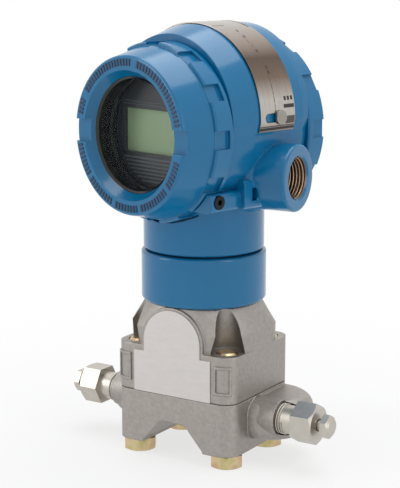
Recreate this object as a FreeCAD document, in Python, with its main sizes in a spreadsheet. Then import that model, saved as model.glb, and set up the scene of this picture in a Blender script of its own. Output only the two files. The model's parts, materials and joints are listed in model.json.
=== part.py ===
import FreeCAD, Part
import Sketcher
import math
import os
import re

# Differential pressure transmitter: a two-compartment electronics housing with a display,
# on a coplanar sensor module and its process flange.  Millimetres and degrees.
#
# Part frame: +Z up, the origin midway between the two process ports, on the flange's bottom
# face, +X along the ports towards the high-pressure side, -Y towards the label of the module.
# Housing frame, which every piece above the neck is drawn in: X to the right of the display,
# Y up, Z out of the display, the origin where the neck's axis meets the covers' axis.

doc = FreeCAD.newDocument("PressureTransmitter")
sheet = doc.addObject("Spreadsheet::Sheet", "Sizes")

SIZES = {
    # process flange
    "port_spacing": 54.0,
    "bolt_row_spacing": 41.3,
    "bolt_margin_x": 9.0,
    "bolt_margin_y": 10.25,
    "flange_corner": 8.6,
    "flange_height": 27.7,
    "arch_foot_width": 37.0,
    "arch_crown_width": 12.0,
    "arch_height": 13.5,
    "arch_radius": 6.0,
    "bulge_radius": 23.0,
    "bulge_setback": 8.0,
    "bulge_bottom": 5.5,
    "bulge_drop": 1.5,
    "bulge_round": 7.0,
    "port_radius": 5.8,
    "port_depth": 15.0,
    "port_passage_radius": 3.5,
    "isolator_spacing": 34.0,
    "isolator_cavity_radius": 11.6,
    "isolator_cavity_depth": 3.0,
    "seal_groove_radius": 13.9,
    "seal_groove_depth": 1.6,
    # flange bolts
    "bolt_radius": 5.5,
    "bolt_clearance": 0.25,
    "bolt_head_flats": 15.9,
    "bolt_head_height": 7.4,
    "bolt_washer_face": 0.6,
    "bolt_projection": 0.9,
    "bolt_chamfer": 1.2,
    # drain and vent valves
    "vent_setback": 5.0,
    "vent_height": 18.0,
    "vent_face": 50.2,
    "vent_boss_radius": 9.5,
    "vent_boss_rim": 0.5,
    "vent_spotface_radius": 8.6,
    "vent_bore_radius": 6.2,
    "vent_bore_depth": 13.5,
    "vent_passage_radius": 1.6,
    "vent_thread_clearance": 0.1,
    "vent_body_radius": 7.4,
    "vent_body_length": 10.2,
    "vent_hex_flats": 19.05,
    "vent_hex_length": 11.8,
    "vent_stem_bore": 3.4,
    "vent_stem_bore_depth": 19.0,
    "vent_stem_clearance": 0.1,
    "vent_stem_neck": 2.7,
    "vent_stem_head_flats": 11.1,
    "vent_stem_head_length": 4.8,
    "vent_stem_head_gap": 3.0,
    "vent_stem_tip": 4.0,
    # sensor module
    "ear_height": 25.1,
    "foot_step": 0.5,
    "foot_height": 0.6,
    "shoulder_height": 34.4,
    "module_height": 47.2,
    "shoulder_depth": 59.0,
    "shoulder_corner": 21.5,
    "module_top_radius": 30.2,
    "scoop_radius": 9.2,
    "scoop_top_radius": 4.5,
    "label_width": 46.8,
    "label_foot_height": 22.3,
    "label_arch_radius": 17.1,
    "label_arch_height": 28.6,
    "label_thickness": 0.5,
    "label_margin": 1.5,
    "label_boss_depth": 14.0,
    "spigot_radius": 19.7,
    "module_bore_radius": 15.0,
    "module_floor": 9.0,
    "oil_passage_radius": 1.0,
    "oil_passage_x": 8.0,
    "cell_radius": 13.0,
    "cell_height": 18.0,
    "board_thickness": 1.6,
    "header_radius": 9.0,
    "isolator_thickness": 0.8,
    "isolator_gap": 0.15,
    "seal_gap": 0.1,
    # collar and neck
    "collar_gap": 0.5,
    "collar_radius": 32.75,
    "collar_height": 26.1,
    "collar_round": 1.6,
    "collar_wall": 12.6,
    "neck_gap": 0.8,
    "neck_radius": 31.6,
    "neck_length": 62.5,
    "neck_bore_clearance": 0.3,
    "neck_bore_depth": 14.0,
    # housing
    "housing_yaw": 12.8,
    "front_face": 24.0,
    "band_front": 9.5,
    "rear_face": 29.0,
    "barrel_radius": 44.6,
    "crown_radius": 46.2,
    "crown_rise": 6.8,
    "front_radius": 43.2,
    "front_crown_radius": 44.2,
    "front_crown_rise": 4.6,
    "rear_band": 25.0,
    "rear_radius": 44.2,
    "rear_crown_radius": 45.8,
    "rear_crown_rise": 7.0,
    "neck_round": 1.4,
    "chamber_radius": 34.0,
    "cover_thread_radius": 37.0,
    "thread_depth": 13.0,
    "divider_front": 6.0,
    "divider_thickness": 5.0,
    "wire_hole_radius": 5.0,
    "conduit_side": 54.0,
    "conduit_drop": 22.2,
    "conduit_setback": 13.0,
    "conduit_sweep": 16.0,
    "conduit_boss_radius": 17.2,
    "conduit_boss_length": 34.0,
    "conduit_bore_radius": 10.4,
    "conduit_chamfer": 1.3,
    "conduit_bore_depth": 16.0,
    "conduit_flare": 5.0,
    "throat_radius": 5.5,
    "lug_inner": 27.0,
    "lug_outer": 40.0,
    "lug_top": 27.0,
    "lug_bottom": 36.6,
    "lug_round": 2.5,
    "jam_lug_front": 35.0,
    "jam_lug_back": 8.0,
    "jam_screw_z": 29.4,
    "jam_screw_drop": 31.2,
    "jam_screw_radius": 3.4,
    "jam_screw_length": 4.4,
    "ground_lug_outer": 43.0,
    "ground_lug_top": 21.8,
    "ground_lug_front": 14.5,
    "ground_lug_back": 3.0,
    "ground_hole_width": 3.4,
    "ground_hole_height": 6.4,
    # covers
    "cover_gap": 0.3,
    "cover_thread_clearance": 0.1,
    "cover_skirt_radius": 33.6,
    "cover_skirt_length": 11.0,
    "cover_room": 0.6,
    "cover_ring_radius": 45.4,
    "rear_cover_ring_radius": 46.6,
    "cover_ring_width": 12.0,
    "cover_ring_chamfer": 0.8,
    "cover_neck_radius": 43.4,
    "cover_rim_radius": 39.75,
    "front_cover_reach": 53.3,
    "rim_inner_radius": 32.4,
    "rim_round": 1.6,
    "window_radius": 28.0,
    "window_recess": 5.0,
    "castellations": 12,
    "castellation_depth": 1.8,
    "castellation_width": 9.0,
    "rim_slot_width": 11.4,
    "rim_slot_depth": 2.8,
    "glass_radius": 30.4,
    "glass_thickness": 6.0,
    "glass_gap": 0.1,
    "glass_lip": 2.6,
    "retainer_width": 2.2,
    "retainer_thickness": 2.5,
    "rear_cover_reach": 43.5,
    "rear_cap_radius": 38.0,
    "rear_dish_radius": 30.0,
    "rear_dish_depth": 2.0,
    "oring_section": 0.75,
    "oring_gap": 0.1,
    "cover_cap_wall": 4.0,
    # display and electronics
    "bezel_radius": 29.4,
    "bezel_gap": 3.2,
    "bezel_wall": 1.6,
    "bezel_round": 1.0,
    "lcd_width": 47.0,
    "lcd_height": 22.4,
    "lcd_depth": 0.8,
    "lcd_thickness": 2.4,
    "lcd_margin": 1.0,
    "display_board_back": 22.0,
    "display_pillar_x": 22.0,
    "wire_flat": 5.0,
    "electronics_board_radius": 31.0,
    "electronics_board_back": 2.0,
    "standoff_radius": 2.6,
    "standoff_circle": 26.0,
    "terminal_block_radius": 31.0,
    "terminal_block_thickness": 8.0,
    "terminal_spacing": 13.0,
    "terminal_screw_radius": 4.2,
    "terminal_screw_height": 3.4,
    "terminal_recess_radius": 5.4,
    "terminal_recess_depth": 3.0,
    "terminal_rise": 6.0,
    "terminal_foot": 14.0,
    "ground_screw_radius": 3.6,
    "ground_screw_height": 3.0,
    # name plate, buttons and small screws
    "plate_front": 7.5,
    "plate_rear": 17.5,
    "plate_thickness": 0.7,
    "plate_gap": 0.3,
    "plate_foot": 1.5,
    "plate_travel": 8.0,
    "plate_screw_rise": 8.4,
    "plate_screw_z": 6.0,
    "plate_screw_radius": 2.0,
    "plate_screw_head": 3.6,
    "plate_screw_head_height": 1.5,
    "plate_screw_length": 6.0,
    "plate_slot_clearance": 0.3,
    "button_spacing": 17.0,
    "button_z": 3.8,
    "button_radius": 2.9,
    "button_clearance": 0.1,
    "button_length": 6.0,
    "button_sink": 2.2,
    "button_travel": 1.5,
    "plug_recess": 3.0,
    "plug_clearance": 0.15,
    "plug_socket_flats": 9.5,
    "plug_socket_depth": 6.0,
    "screw_socket_flats": 2.6,
    "set_screw_radius": 2.4,
    "set_screw_length": 8.0,
    "set_screw_clearance": 0.1,
    "set_screw_rise": 6.5,
}

# Lengths that follow from the driving ones.
DERIVED = {
    "flange_width": "port_spacing + 2 * bolt_margin_x",
    "flange_depth": "bolt_row_spacing + 2 * bolt_margin_y",
    "seam": "flange_height",
    "ear_top": "seam + ear_height",
    "shoulder_top": "seam + shoulder_height",
    "module_top": "seam + module_height",
    "collar_bottom": "module_top + collar_gap",
    "collar_top": "collar_bottom + collar_height",
    "neck_bottom": "collar_top + neck_gap",
    "axis_height": "neck_bottom + neck_length",
    "bolt_x": "port_spacing / 2",
    "bolt_y": "bolt_row_spacing / 2",
    "isolator_x": "isolator_spacing / 2",
    "spigot_top": "neck_bottom + neck_bore_depth - 1",
    "neck_bore_radius": "spigot_radius + neck_bore_clearance",
    "collar_bore": "collar_radius - collar_wall",
    "divider_back": "divider_front + divider_thickness",
    "front_seat": "front_face + cover_gap",
    "rear_seat": "rear_face + cover_gap",
    "skirt_radius": "cover_thread_radius - cover_thread_clearance",
    "crown_top": "crown_rise + crown_radius",
    "oring_room": "2 * oring_section + 2 * oring_gap + cover_gap",
    "oring_seat": "skirt_radius - 2 * oring_section - oring_gap",
    "button_top": "crown_top - button_sink - 1.2",
    "button_floor": "button_top - button_length - button_travel - 0.3",
    "ground_hole_y": "-(ground_lug_top + lug_bottom) / 2",
    "ground_hole_z": "ground_lug_front / 2",
    "glass_back": "front_cover_reach - window_recess - glass_lip - glass_thickness",
    "bezel_front": "glass_back - retainer_thickness - bezel_gap",
    "vent_root": "vent_face - vent_bore_depth",
    "vent_hex_end": "vent_face + vent_body_length + vent_hex_length",
}


def expression(text):
    """The text with every named size replaced by its place in the sheet."""
    def swap(match):
        word = match.group(0)
        if word in SIZES:
            return "Sizes." + word
        if word in DERIVED:
            return "(" + expression(DERIVED[word]) + ")"
        return word
    return re.sub(r"[a-z_][a-z_0-9]*", swap, str(text))


def number(text):
    """The value of an expression in the sizes."""
    return float(sheet.evalExpression(expression(text)))


def bind(feature, prop, text):
    feature.setExpression(prop, expression(text))


for row, (alias, value) in enumerate(SIZES.items(), start=1):
    sheet.set("A%d" % row, alias.replace("_", " "))
    sheet.set("B%d" % row, str(value))
    sheet.setAlias("B%d" % row, alias)
doc.recompute()

# Turns that send Z along another axis of the frame that a piece is drawn in.
ALONG_X = "0; 90; 0"
AGAINST_X = "0; -90; 0"
ALONG_Y = "0; 0; -90"
ALONG_Z = "0; 0; 0"


# Where each frame that a piece may be drawn in lies in the part frame.
FRAMES = {
    "part": "placement(vector(0; 0; 0); rotation(0; 0; 0))",
    "housing": "placement(vector(0; 0; axis_height); rotation(-housing_yaw; 0; 90))",
    "rear": "placement(vector(0; 0; axis_height); rotation(180 - housing_yaw; 0; 90))",
    "vent_high": "placement(vector(0; -vent_setback; vent_height); rotation(0; 90; 0))",
    "vent_low": "placement(vector(0; -vent_setback; vent_height); rotation(180; 90; 0))",
}


def start_body(label, frame="part"):
    body = doc.addObject("PartDesign::Body", label)
    bind(body, "Placement", FRAMES[frame])
    return body


def attach(feature, body, plane, at, turn):
    origin = next(part for part in body.Origin.OriginFeatures if part.Role == plane)
    feature.AttachmentSupport = [(origin, "")]
    feature.MapMode = "FlatFace"
    place = "placement(vector(%s); rotation(%s))" % ("; ".join(str(part) for part in at), turn)
    bind(feature, "AttachmentOffset", place)


def primitive(body, kind, name, at, turn, cut, **sizes):
    mode = "Subtractive" if cut else "Additive"
    feature = body.newObject("PartDesign::" + mode + kind, name)
    attach(feature, body, "XY_Plane", at, turn)
    for prop, text in sizes.items():
        bind(feature, prop, text)
    return feature


def cylinder(body, name, radius, height, at=(0, 0, 0), turn=ALONG_Z, cut=False):
    return primitive(body, "Cylinder", name, at, turn, cut, Radius=radius, Height=height)


def cone(body, name, radius, end_radius, height, at=(0, 0, 0), turn=ALONG_Z, cut=False):
    return primitive(body, "Cone", name, at, turn, cut, Radius1=radius, Radius2=end_radius, Height=height)


def block(body, name, low, high, cut=False):
    """A box between two corners."""
    spans = ["(%s) - (%s)" % (b, a) for a, b in zip(low, high)]
    return primitive(body, "Box", name, low, ALONG_Z, cut, Length=spans[0], Width=spans[1], Height=spans[2])


def hexagon(body, name, flats, height, at=(0, 0, 0), turn=ALONG_Z, cut=False):
    corner = "(%s) / sqrt(3)" % flats
    feature = primitive(body, "Prism", name, at, turn, cut, Circumradius=corner, Height=height)
    feature.Polygon = 6
    return feature


def start_sketch(body, name, plane="XY_Plane", at=(0, 0, 0), turn=ALONG_Z):
    sketch = body.newObject("Sketcher::SketchObject", name)
    attach(sketch, body, plane, at, turn)
    return sketch


def fix_point(sketch, edge, end, x, y):
    """Ties a point of an edge to its two coordinates."""
    for kind, text in (("DistanceX", x), ("DistanceY", y)):
        index = sketch.addConstraint(Sketcher.Constraint(kind, -1, 1, edge, end, number(text)))
        bind(sketch, "Constraints[%d]" % index, text)


def draw_circle(sketch, radius, x="0", y="0"):
    centre = FreeCAD.Vector(number(x), number(y), 0)
    edge = sketch.addGeometry(Part.Circle(centre, FreeCAD.Vector(0, 0, 1), number(radius)), False)
    fix_point(sketch, edge, 3, x, y)
    index = sketch.addConstraint(Sketcher.Constraint("Radius", edge, number(radius)))
    bind(sketch, "Constraints[%d]" % index, radius)


def draw_outline(sketch, corners):
    """A closed outline.  A corner is (x, y), reached by a straight edge, or (x, y, radius), reached
    by an arc that turns to the left, or to the right where the radius starts with a minus."""
    points = [FreeCAD.Vector(number(corner[0]), number(corner[1]), 0) for corner in corners]
    starts = []
    ends = []
    for i, corner in enumerate(corners):
        a, b = points[i - 1], points[i]
        if len(corner) == 2:
            edge = sketch.addGeometry(Part.LineSegment(a, b), False)
            starts.append((edge, 1))
            ends.append((edge, 2))
            continue
        text = corner[2].lstrip("-")
        side = -1 if corner[2].startswith("-") else 1
        radius = number(text)
        chord = b - a
        rise = math.sqrt(max(radius ** 2 - (chord.Length / 2) ** 2, 0)) * side / chord.Length
        centre = (a + b) * 0.5 + FreeCAD.Vector(-chord.y, chord.x, 0) * rise
        first, last = (a, b) if side > 0 else (b, a)
        angles = [math.atan2(end.y - centre.y, end.x - centre.x) for end in (first, last)]
        circle = Part.Circle(centre, FreeCAD.Vector(0, 0, 1), radius)
        edge = sketch.addGeometry(Part.ArcOfCircle(circle, angles[0], angles[1]), False)
        starts.append((edge, 1 if side > 0 else 2))
        ends.append((edge, 2 if side > 0 else 1))
        index = sketch.addConstraint(Sketcher.Constraint("Radius", edge, radius))
        bind(sketch, "Constraints[%d]" % index, text)
    for i, corner in enumerate(corners):
        after = starts[(i + 1) % len(corners)]
        sketch.addConstraint(Sketcher.Constraint("Coincident", *ends[i], *after))
        fix_point(sketch, *ends[i], corner[0], corner[1])


def rounded(x, y, radius):
    """Corners of a rounded rectangle about the origin, from its half sizes."""
    inner_x = "(%s) - (%s)" % (x, radius)
    inner_y = "(%s) - (%s)" % (y, radius)
    bend = "(%s)" % radius
    return [
        (inner_x, "-(%s)" % y), (x, "-(%s)" % inner_y, bend), (x, inner_y), (inner_x, y, bend),
        ("-(%s)" % inner_x, y), ("-(%s)" % x, inner_y, bend), ("-(%s)" % x, "-(%s)" % inner_y),
        ("-(%s)" % inner_x, "-(%s)" % y, bend),
    ]


def pad(body, name, sketch, length, back=False):
    feature = body.newObject("PartDesign::Pad", name)
    feature.Profile = sketch
    feature.Reversed = back
    bind(feature, "Length", length)
    return feature


def pocket(body, name, sketch, length, back=False):
    feature = body.newObject("PartDesign::Pocket", name)
    feature.Profile = sketch
    feature.Reversed = back
    bind(feature, "Length", length)
    return feature


def loft(body, name, first, last):
    feature = body.newObject("PartDesign::AdditiveLoft", name)
    feature.Profile = first
    feature.Sections = [last]
    return feature


def turned(body, name, corners, at=(0, 0, 0), spin="0", about="Z", cut=False):
    """A profile (radius, height) turned about the frame's Z or Y axis.  The axis is moved by at, and
    spin leans it in the plane of the profile."""
    x, y, z = at
    plane, offset = ("XZ_Plane", (x, z, "-(%s)" % y)) if about == "Z" else ("XY_Plane", (x, y, z))
    sketch = start_sketch(body, name + "_profile", plane, offset, "%s; 0; 0" % spin)
    draw_outline(sketch, corners)
    feature = body.newObject("PartDesign::" + ("Groove" if cut else "Revolution"), name)
    feature.Profile = sketch
    feature.ReferenceAxis = (sketch, ["V_Axis"])
    feature.Angle = 360
    return feature


def ring(body, name, inner, outer, low, high, cut=False):
    """A turned ring of plain rectangular section."""
    return turned(body, name, [(inner, low), (outer, low), (outer, high), (inner, high)], cut=cut)


def around(body, name, features, count):
    """Copies of features spread evenly about the frame's Z axis."""
    pattern = body.newObject("PartDesign::PolarPattern", name)
    pattern.Originals = features
    axis = next(part for part in body.Origin.OriginFeatures if part.Role == "Z_Axis")
    pattern.Axis = (axis, [""])
    pattern.Angle = 360
    bind(pattern, "Occurrences", count)
    body.Tip = pattern
    return pattern


def signed(side, text):
    return "%d * (%s)" % (side, text)


# ---- process flange, bolts and valves ----

def make_flange():
    """Cast coplanar flange: two port pads with an arch between, and a rounded bulge at each end."""
    body = start_body("coplanar_flange")
    sketch = start_sketch(body, "flange_outline")
    draw_outline(sketch, rounded("flange_width / 2", "flange_depth / 2", "flange_corner"))
    pad(body, "flange_block", sketch, "flange_height")
    low, high = "bulge_bottom", "seam - bulge_drop"
    section = [
        ("0", low), ("bulge_radius - bulge_round", low),
        ("bulge_radius", low + " + bulge_round", "bulge_round"),
        ("bulge_radius", high + " - bulge_round"),
        ("bulge_radius - bulge_round", high, "bulge_round"), ("0", high),
    ]
    for side, name in ((1, "high"), (-1, "low")):
        turned(body, name + "_bulge", section, (signed(side, "flange_width / 2"), "bulge_setback", "0"))
        inside = (signed(side, "flange_width / 4"), "-vent_setback", "vent_height")
        cylinder(body, name + "_vent_boss", "vent_boss_radius",
                 "vent_face + vent_boss_rim - flange_width / 4", inside, (ALONG_X, AGAINST_X)[side < 0])
    # The arch runs from front to back between the two port pads.
    sketch = start_sketch(body, "arch_outline", "XZ_Plane", (0, 0, "flange_depth / 2 + 1"))
    foot, crown, rise = "arch_foot_width / 2", "arch_crown_width / 2", "arch_height"
    draw_outline(sketch, [
        ("-(%s)" % foot, "-1"), (foot, "-1"), (foot, "1"),
        ("%s + 4" % crown, rise + " - 3"), (crown, rise, "arch_radius"),
        ("-(%s)" % crown, rise), ("-(%s + 4)" % crown, rise + " - 3", "arch_radius"),
        ("-(%s)" % foot, "1"),
    ])
    pocket(body, "arch", sketch, "flange_depth + 2")
    sketch = start_sketch(body, "bolt_hole_circles")
    for x in (-1, 1):
        for y in (-1, 1):
            draw_circle(sketch, "bolt_radius + bolt_clearance", signed(x, "bolt_x"), signed(y, "bolt_y"))
    pocket(body, "bolt_holes", sketch, "flange_height + 1", back=True)
    slope = "(vent_setback / (vent_root - bolt_x))"
    reach = "sqrt((vent_root - bolt_x) ^ 2 + vent_setback ^ 2) + 1"
    for side, name in ((1, "high"), (-1, "low")):
        out, x = (ALONG_X, AGAINST_X)[side < 0], signed(side, "isolator_x")
        port = signed(side, "bolt_x")
        cylinder(body, name + "_port", "port_radius", "port_depth + 1", (port, 0, -1), cut=True)
        cylinder(body, name + "_port_passage", "port_passage_radius", "seam", (port, 0, 1), cut=True)
        cylinder(body, name + "_isolator_cavity", "isolator_cavity_radius", "isolator_cavity_depth + 1",
                 (x, 0, "seam - isolator_cavity_depth"), cut=True)
        cylinder(body, name + "_seal_groove", "seal_groove_radius", "seal_groove_depth + 1",
                 (x, 0, "seam - seal_groove_depth"), cut=True)
        root, y, z = signed(side, "vent_root"), "-vent_setback", "vent_height"
        cylinder(body, name + "_vent_spotface", "vent_spotface_radius", "20",
                 (signed(side, "vent_face"), y, z), out, cut=True)
        cylinder(body, name + "_vent_bore", "vent_bore_radius", "vent_bore_depth + 1",
                 (root, y, z), out, cut=True)
        aim = ("-atan(%s); 90; 0", "180 deg + atan(%s); 90; 0")[side < 0] % slope
        cylinder(body, name + "_vent_passage", "vent_passage_radius", reach, (port, 0, z), aim, cut=True)
    return body


def make_flange_bolt(number_of, x, y):
    """Hex bolt, put in from below, with its end above the module's ear."""
    body = start_body("flange_bolt_%d" % number_of)
    place = (signed(x, "bolt_x"), signed(y, "bolt_y"))
    flats = "bolt_head_flats / 2"
    face, low = "-bolt_washer_face", "-(bolt_head_height)"
    hexagon(body, "head", "bolt_head_flats", "bolt_head_height - bolt_washer_face", place + (low,))
    corner = "bolt_head_flats / sqrt(3) + 1"
    turned(body, "head_chamfer", [("%s - 0.6" % flats, low + " - 0.1"), (corner, low + " - 0.1"),
           (corner, low + " + 1.4")], place + ("0",), cut=True)
    end = "ear_top + bolt_projection"
    turned(body, "shank", [
        ("0", face), (flats + " - 0.4", face), (flats + " - 0.4", "0"), ("bolt_radius", "0"),
        ("bolt_radius", end + " - bolt_chamfer"), ("bolt_radius - bolt_chamfer", end), ("0", end),
    ], place + ("0",))
    return body


def make_vent_seat(name, spin):
    """Drain and vent valve body: threaded stub, round body, hexagon and a bore for its stem."""
    body = start_body("vent_seat_" + name, "vent_" + name)
    stub, root, face = "vent_bore_radius - vent_thread_clearance", "vent_root + 0.5", "vent_face"
    hex_start, hex_end = "vent_face + vent_body_length", "vent_hex_end"
    turned(body, "round_body", [
        ("0", root), (stub + " - 0.8", root), (stub, root + " + 0.8"), (stub, face),
        ("vent_body_radius", face), ("vent_body_radius", hex_start), ("0", hex_start),
    ])
    hexagon(body, "hexagon", "vent_hex_flats", "vent_hex_length", (0, 0, hex_start), spin)
    flats, corner = "vent_hex_flats / 2", "vent_hex_flats / sqrt(3) + 1"
    turned(body, "hexagon_chamfer", [
        (flats + " - 0.6", hex_end + " + 0.1"), (corner, hex_end + " - 2"), (corner, hex_end + " + 0.1"),
    ], cut=True)
    bore = "vent_hex_end - vent_stem_bore_depth"
    turned(body, "stem_bore", [
        ("0", root + " - 1"), ("vent_passage_radius", root + " - 1"), ("vent_passage_radius", bore),
        ("vent_stem_bore", bore + " + 2"), ("vent_stem_bore", hex_end + " + 1"), ("0", hex_end + " + 1"),
    ], cut=True)
    return body


def make_vent_stem(name, spin):
    """Valve stem: pointed tip, threaded shank, a thinner neck and a hex head with a domed end."""
    body = start_body("vent_stem_" + name, "vent_" + name)
    shank = "vent_stem_bore - vent_stem_clearance"
    tip = "vent_hex_end - vent_stem_bore_depth + 2 + vent_stem_clearance"
    neck, head = "vent_hex_end - 1", "vent_hex_end + vent_stem_head_gap"
    end = head + " + vent_stem_head_length"
    turned(body, "shank", [
        ("0", tip), (shank + " - 2", tip), (shank, tip + " + vent_stem_tip"), (shank, neck),
        ("vent_stem_neck", neck), ("vent_stem_neck", head), ("0", head),
    ])
    hexagon(body, "head", "vent_stem_head_flats", "vent_stem_head_length", (0, 0, head), spin)
    flats, corner = "vent_stem_head_flats / 2", "vent_stem_head_flats / sqrt(3) + 1"
    turned(body, "head_dome", [
        (flats + " - 1.6", end + " + 0.1"), (corner, end + " - 2.4"), (corner, end + " + 0.1"),
    ], cut=True)
    return body


def make_seal(name, side):
    body = start_body("process_seal_" + name)
    outer = "seal_groove_radius - seal_gap"
    low, high = "seam - seal_groove_depth + seal_gap", "seam - seal_gap"
    x = signed(side, "isolator_x")
    turned(body, "seal", [("isolator_cavity_radius + seal_gap", low), (outer, low), (outer, high),
                          ("isolator_cavity_radius + seal_gap", high)], (x, "0", "0"))
    return body


def make_isolator(name, side):
    """Corrugated metal diaphragm that closes the module's oil passage."""
    body = start_body("isolator_" + name)
    low, high = "seam - isolator_gap - isolator_thickness", "seam - isolator_gap"
    edge, place = "isolator_cavity_radius - 0.3", (signed(side, "isolator_x"), "0", "0")
    turned(body, "disc", [("0", low), (edge, low), (edge, high), ("0", high)], place)
    for i in (1, 2, 3):
        radius = "isolator_cavity_radius * %d / 4" % i
        turned(body, "corrugation_%d" % i, [
            (radius + " - 0.5", low + " - 0.1"), (radius + " + 0.5", low + " - 0.1"),
            (radius, low + " + 0.35"),
        ], place, cut=True)
    return body


# ---- sensor module, its inside and the collar ----

def make_module():
    """Cast sensor module: four bolt ears, tapered shoulders with a scoop over each bolt, a flat
    boss for its label, and a round spigot that carries the collar and the housing."""
    body = start_body("sensor_module")
    half_x, half_y = "flange_width / 2", "shoulder_depth / 2"
    foot = start_sketch(body, "foot_outline", at=(0, 0, "seam"))
    draw_outline(foot, rounded("flange_width / 2 - foot_step", "flange_depth / 2 - foot_step",
                               "flange_corner - foot_step"))
    pad(body, "foot", foot, "foot_height")
    ears = start_sketch(body, "ear_outline", at=(0, 0, "seam + foot_height"))
    draw_outline(ears, rounded("flange_width / 2", "flange_depth / 2", "flange_corner"))
    pad(body, "ears", ears, "ear_height - foot_height")
    shoulders = start_sketch(body, "shoulder_outline", at=(0, 0, "seam + foot_height"))
    draw_outline(shoulders, rounded(half_x, half_y, "shoulder_corner"))
    pad(body, "shoulders", shoulders, "shoulder_height - foot_height")
    first = start_sketch(body, "taper_foot", at=(0, 0, "shoulder_top"))
    draw_outline(first, rounded(half_x, half_y, "shoulder_corner"))
    last = start_sketch(body, "taper_head", at=(0, 0, "module_top"))
    draw_outline(last, rounded("module_top_radius", "module_top_radius", "module_top_radius - 0.5"))
    loft(body, "taper", first, last)
    # Label boss: a foot as wide as the label and an arch above it.
    boss = start_sketch(body, "label_boss_outline", "XZ_Plane", (0, 0, "flange_depth / 2"))
    draw_outline(boss, label_outline("label_margin", "seam + 2"))
    pad(body, "label_boss", boss, "label_boss_depth", back=True)
    spigot = start_sketch(body, "spigot_circle", at=(0, 0, "module_top - 2"))
    draw_circle(spigot, "spigot_radius")
    pad(body, "spigot", spigot, "spigot_top - module_top + 2")
    for x in (-1, 1):
        for y in (-1, 1):
            place = (signed(x, "bolt_x"), signed(y, "bolt_y"))
            name = "%s_%s_ear" % (("left", "right")[x > 0], ("front", "rear")[y > 0])
            cone(body, name + "_scoop", "scoop_radius", "scoop_top_radius", "module_height - ear_height",
                 place + ("ear_top",), cut=True)
            cylinder(body, name + "_hole", "bolt_radius + bolt_clearance", "ear_height + 2",
                     place + ("seam - 1",), cut=True)
    cylinder(body, "cell_bore", "module_bore_radius", "spigot_top - seam - module_floor + 1",
             (0, 0, "seam + module_floor"), cut=True)
    for side, name in ((1, "high"), (-1, "low")):
        cylinder(body, name + "_oil_passage", "oil_passage_radius", "module_floor + 2",
                 (signed(side, "oil_passage_x"), 0, "seam - 1"), cut=True)
    return body


def label_outline(margin, low):
    """Outline of the module's label, margin wider all round, from the height low."""
    foot, arch = "label_width / 2 + %s" % margin, "label_arch_radius + %s" % margin
    shoulder, spring = "seam + label_foot_height + %s" % margin, "seam + label_arch_height"
    bend = "(%s)" % arch
    return [
        ("-(%s)" % foot, low), (foot, low), (foot, shoulder), (arch, shoulder), (arch, spring),
        ("0", "%s + %s" % (spring, arch), bend), ("-(%s)" % arch, spring, bend),
        ("-(%s)" % arch, shoulder), ("-(%s)" % foot, shoulder),
    ]


def make_module_label():
    body = start_body("module_label")
    sketch = start_sketch(body, "label_outline", "XZ_Plane", (0, 0, "flange_depth / 2"))
    draw_outline(sketch, label_outline("0", "seam + 0.4"))
    pad(body, "label", sketch, "label_thickness")
    return body


def make_pressure_cell():
    """Welded capacitance cell with its isolating ring, standing on the module's floor."""
    body = start_body("pressure_cell")
    low = "seam + module_floor"
    middle, high, waist = low + " + cell_height / 2", low + " + cell_height", "cell_radius - 1"
    turned(body, "cell", [
        ("0", low), (waist, low), ("cell_radius", low + " + 1"), ("cell_radius", middle + " - 1"),
        (waist, middle + " - 1"), (waist, middle + " + 1"), ("cell_radius", middle + " + 1"),
        ("cell_radius", high + " - 1"), (waist, high), ("header_radius - 1", high),
        ("header_radius - 1", high + " + 2"), ("0", high + " + 2"),
    ])
    return body


def make_sensor_board():
    """Round board above the cell, inside the spigot, with its header block."""
    body = start_body("sensor_board")
    low = "seam + module_floor + cell_height + 2"
    cylinder(body, "board", "module_bore_radius - 0.3", "board_thickness", (0, 0, low))
    cylinder(body, "header", "header_radius", "spigot_top - (%s) - board_thickness + 0.5" % low,
             (0, 0, low + " + board_thickness"))
    return body


def make_collar():
    body = start_body("sensor_collar")
    low, high, bend = "collar_bottom", "collar_top", "collar_round"
    turned(body, "collar", [
        ("collar_bore", low), ("collar_radius - collar_round", low),
        ("collar_radius", low + " + collar_round", bend), ("collar_radius", high + " - neck_round"),
        ("collar_radius - neck_round", high, "neck_round"), ("collar_bore", high),
    ])
    return body


def make_neck_seal():
    """Round-section seal in the gap between the collar and the housing's neck."""
    body = start_body("neck_seal")
    torus = body.newObject("PartDesign::AdditiveTorus", "seal")
    middle = "(collar_top + neck_bottom) / 2"
    attach(torus, body, "XY_Plane", (0, 0, middle), ALONG_Z)
    bind(torus, "Radius1", "neck_radius - 3")
    bind(torus, "Radius2", "neck_gap / 2 - 0.02")
    return body


# ---- housing, drawn in the housing frame ----

def egg(low, high, rise):
    """Barrel section: a circle of radius low about the covers' axis below, and one of radius high
    raised by rise above it, joined by straight sides."""
    top = "%s + %s" % (rise, high)
    return [
        (low, "0", low), (high, rise), ("0", top, high), ("-(%s)" % high, rise, high),
        ("-(%s)" % low, "0"), ("0", "-(%s)" % low, low),
    ]


def grown(amount):
    """The barrel's band section, grown by amount."""
    return egg("(barrel_radius + %s)" % amount, "(crown_radius + %s)" % amount, "crown_rise")


def lug(body, name, outer, top, back, length):
    """Bar along the lower right of the barrel, with its outer edges rounded."""
    sketch = start_sketch(body, name + "_section", at=(0, 0, back))
    draw_outline(sketch, [
        ("lug_inner", "-lug_bottom"), (outer + " - lug_round", "-lug_bottom"),
        (outer, "lug_round - lug_bottom", "lug_round"), (outer, "-lug_round - (%s)" % top),
        (outer + " - lug_round", "-(%s)" % top, "lug_round"), ("lug_inner", "-(%s)" % top),
    ])
    pad(body, name, sketch, length)


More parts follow.
